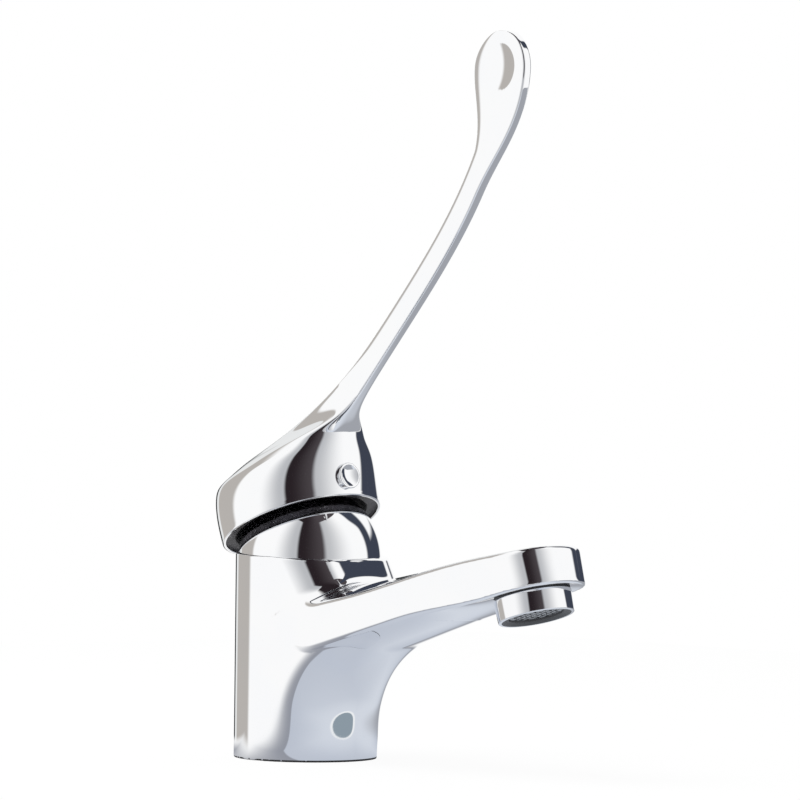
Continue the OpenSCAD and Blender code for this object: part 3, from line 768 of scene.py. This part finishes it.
step_z, foot_z = 0.8 - RING_H, -0.4 - RING_H
profile = rounded([
    (9, SLEEVE_TOP, 0.2), (9, step_z, 0.05), (8.3, step_z, 0.05), (8.5, 0.3 - RING_H, 0.1),
    (10.8, foot_z, 0.2), (11.8, foot_z, 0.4), (12.1, -0.6, 0.2), (11.6, -0.5, 0.1),
    (RING_R, RING_TOP, 0.3), (SLEEVE_R, RING_TOP, 0.1), (SLEEVE_R, SLEEVE_TOP, 0.3)], 6)
points, quads = turned(profile, RING_SIDES, on_outlet)
# Rows inside the mouth and along the top of the wall take the dark moulding as painted shade
row = np.arange(len(profile))
painted_shade_row = (row < SHADED_MOUTH_ROWS) | ((row > SHADOW_GAP_ROWS[0]) & (row < SHADOW_GAP_ROWS[1]))
place("aerator_ring", points, quads, "tap", ["aerator_housing"], (ring_chrome, dark_plastic_and_shade),
      coats=np.repeat(painted_shade_row, RING_SIDES).astype(np.int32))

# Camera, at the viewing angle of the photograph, with its distance and height in metres

TOWARD = Vector((0.777, -0.629, 0)).normalized()
RIGHT = Vector((0.629, 0.777, 0)).normalized()
UP = Vector((0, 0, 1))
CAMERA_FAR, CAMERA_HEIGHT = 1.5, 0.112
yaw, pitch, roll = math.radians(1.1166), math.radians(0.1347), math.radians(0.7)
ahead = (-TOWARD * math.cos(yaw) + RIGHT * math.sin(yaw)) * math.cos(pitch) + UP * math.sin(pitch)
side = ahead.cross(UP).normalized()
over = side.cross(ahead).normalized()
turn = Matrix((side, over, -ahead)).transposed().to_4x4() @ Matrix.Rotation(roll, 4, "Z")
lens = bpy.data.cameras.new("camera")
lens.lens = 209.25
lens.sensor_width = 36.0
lens.sensor_fit = "HORIZONTAL"
lens.clip_start, lens.clip_end = 0.05, 20.0
camera = bpy.data.objects.new("camera", lens)
camera.matrix_world = Matrix.Translation(TOWARD * CAMERA_FAR + UP * CAMERA_HEIGHT) @ turn
bpy.context.scene.collection.objects.link(camera)
bpy.context.scene.camera = camera

# Floor: white to the eye with a soft shadow, a grey blue basin with its drain in the mirror of the metal. The
# basin's wall is in painted shade, and the drain is a hole in painted shade with a painted highlight round
# its rim

half = 0.62
deck = bpy.data.meshes.new("deck")
deck.from_pydata([(-half, -half, 0), (half, -half, 0), (half, half, 0), (-half, half, 0)], [], [(0, 1, 2, 3)])
floor = bpy.data.objects.new("deck", deck)
bpy.context.scene.collection.objects.link(floor)
paint = bpy.data.materials.new("deck_paint")
paint.use_nodes = True
tree = paint.node_tree
tree.nodes.clear()
wire = Wire(tree)
path = wire.node("ShaderNodeLightPath", out="Is Camera Ray")
mirror = path.other("Is Glossy Ray")
spot = wire.node("ShaderNodeTexCoord", out="Object")
parts = wire.node("ShaderNodeSeparateXYZ", None, {"Vector": spot})
x, y = parts, parts.other("Y")
# Distance inside the edge of the basin, whose corner has a slanted face, with a strip beyond it
in_x, in_y = x - 0.02, y + 0.066
slant = 0.78 * in_x + 0.625 * (y + 0.044)
ledge = x.math("MINIMUM", x.math("MINIMUM", in_x, in_y), slant)
inset = x.math("MAXIMUM", ledge, x.math("MINIMUM", y - 0.002, x + 0.03))
# The bowl is darker towards its edge
bowl = inset.step(0.0, 0.06).blend((0.52, 0.56, 0.64), (0.66, 0.70, 0.77))
# Oval drain, with the value 1 on its edge: a dark hole in painted shade inside a pale ring, the painted shine
# of its metal rim
drain = x.math("SQRT", x.math("POWER", (x - 0.09) * 77, 2.0) + x.math("POWER", (y - 0.027) * 32, 2.0))
bowl = drain.step(1.15, 1.3).blend((0.86, 0.88, 0.90), bowl)
bowl = drain.step(0.95, 1.02).blend((0.27, 0.33, 0.38), bowl)
# Darker towards the far side of the bowl
bowl = y.step(0.07, 0.12).blend(bowl, (0.36, 0.375, 0.41))
# Outside the edge, the basin's wall in painted shade: dark at the edge and fading to white outward
rim = inset.step(-0.06, 0.0).blend((0.95, 0.955, 0.96), (0.30, 0.315, 0.36))
plate_tone = inset.step(-0.001, 0.001).blend(rim, bowl)
matt = wire.node("ShaderNodeBsdfDiffuse", None, {"Color": (0.92, 0.92, 0.92, 1)})
white = wire.node("ShaderNodeEmission", None, {"Color": (1, 1, 1, 1), "Strength": 1.0})
plate = wire.node("ShaderNodeEmission", None, {"Color": plate_tone, "Strength": 1.0})
seen = wire.node("ShaderNodeMixShader", None, {0: path * 0.93, 1: matt, 2: white})
clear = wire.node("ShaderNodeBsdfTransparent")
shown = wire.node("ShaderNodeMixShader", None, {0: inset.step(-0.075, -0.04), 1: clear, 2: plate})
both = wire.node("ShaderNodeMixShader", None, {0: mirror, 1: seen, 2: shown})
exit_node = tree.nodes.new("ShaderNodeOutputMaterial")
tree.links.new(both.socket, exit_node.inputs["Surface"])
deck.materials.append(paint)

# Studio: white walls, a dark card round the camera, a warm wall far left that turns pale and has a
# dark edge, and dark bands on the right. Angles are in degrees: turn about the upright axis, tilt above
# the level, and aside from the camera's upright plane

world = bpy.data.worlds.new("studio")
bpy.context.scene.world = world
world.use_nodes = True
tree = world.node_tree
tree.nodes.clear()
wire = Wire(tree)
ray = wire.node("ShaderNodeTexCoord", out="Generated")
across = wire.node("ShaderNodeVectorMath", {"operation": "DOT_PRODUCT"}, {0: ray, 1: RIGHT}, "Value")
along = wire.node("ShaderNodeVectorMath", {"operation": "DOT_PRODUCT"}, {0: ray, 1: TOWARD}, "Value")
height = wire.node("ShaderNodeSeparateXYZ", None, {"Vector": ray}).other("Z")
turn_deg = across.math("ARCTAN2", across, along) * (180 / math.pi)
tilt_deg = height.math("ARCSINE", height) * (180 / math.pi)
left_fall = turn_deg.step(-64, -26)
right_fall = 1 - turn_deg.step(24, 78)
fall = left_fall * right_fall
wall = fall.blend((1.0, 1.0, 1.0), (0.50, 0.51, 0.53))
above = tilt_deg.step(-10, -6)
aside_deg = across.math("ARCSINE", across) * (180 / math.pi)
high = tilt_deg.step(57, 62)
aim_deg = turn_deg + high * (aside_deg - turn_deg)
card = aim_deg.step(-24, -18) * (1 - (aim_deg - 12 * high).step(20, 29)) * above * along.step(-0.8, -0.6)
card_tone = turn_deg.step(-14, 28).blend((0.022, 0.016, 0.019), (0.07, 0.06, 0.066))
tone = card.blend(wall, card_tone)
low = 1 - tilt_deg.step(38, 52)
warm = (1 - turn_deg.step(-110, -103)) * low
tone = warm.blend(tone, (0.48, 0.455, 0.43))
tone = ((1 - turn_deg.step(-150, -146)) * low).blend(tone, (0.82, 0.83, 0.83))
edge = (1 - turn_deg.step(-161, -157)) * (1 - tilt_deg.step(5, 12))
tone = edge.blend(tone, (0.03, 0.035, 0.035))
stripe = (turn_deg + 9 * tilt_deg.step(28, 46)).step(103, 109) * (1 - turn_deg.step(121, 128))
low_band = turn_deg.step(116, 122) * (1 - turn_deg.step(150, 158)) * (1 - tilt_deg.step(12, 18))
bands = stripe.math("MAXIMUM", stripe, low_band) * above
tone = bands.blend(tone, (0.047, 0.055, 0.08))
path = wire.node("ShaderNodeLightPath", out="Is Glossy Ray")
room = path.blend((0.80, 0.80, 0.80), tone)
eye = path.other("Is Camera Ray")
through = path.other("Is Transmission Ray")
lit = eye.math("MAXIMUM", eye, through).blend(room, (1.0, 1.0, 1.0))
sky = wire.node("ShaderNodeBackground", None, {"Color": lit, "Strength": 1.0})
exit_node = tree.nodes.new("ShaderNodeOutputWorld")
tree.links.new(sky.socket, exit_node.inputs["Surface"])

lamp = bpy.data.lights.new("softbox", "AREA")
lamp.shape = "DISK"
lamp.size = 0.9
lamp.energy = 9.0
softbox = bpy.data.objects.new("softbox", lamp)
softbox.location = (-0.35, -0.55, 1.25)
aim = Vector((0.03, 0, 0.1)) - softbox.location
softbox.rotation_euler = aim.to_track_quat("-Z", "Y").to_euler()
softbox.visible_glossy = False
bpy.context.scene.collection.objects.link(softbox)

bpy.context.scene.view_settings.view_transform = "Standard"
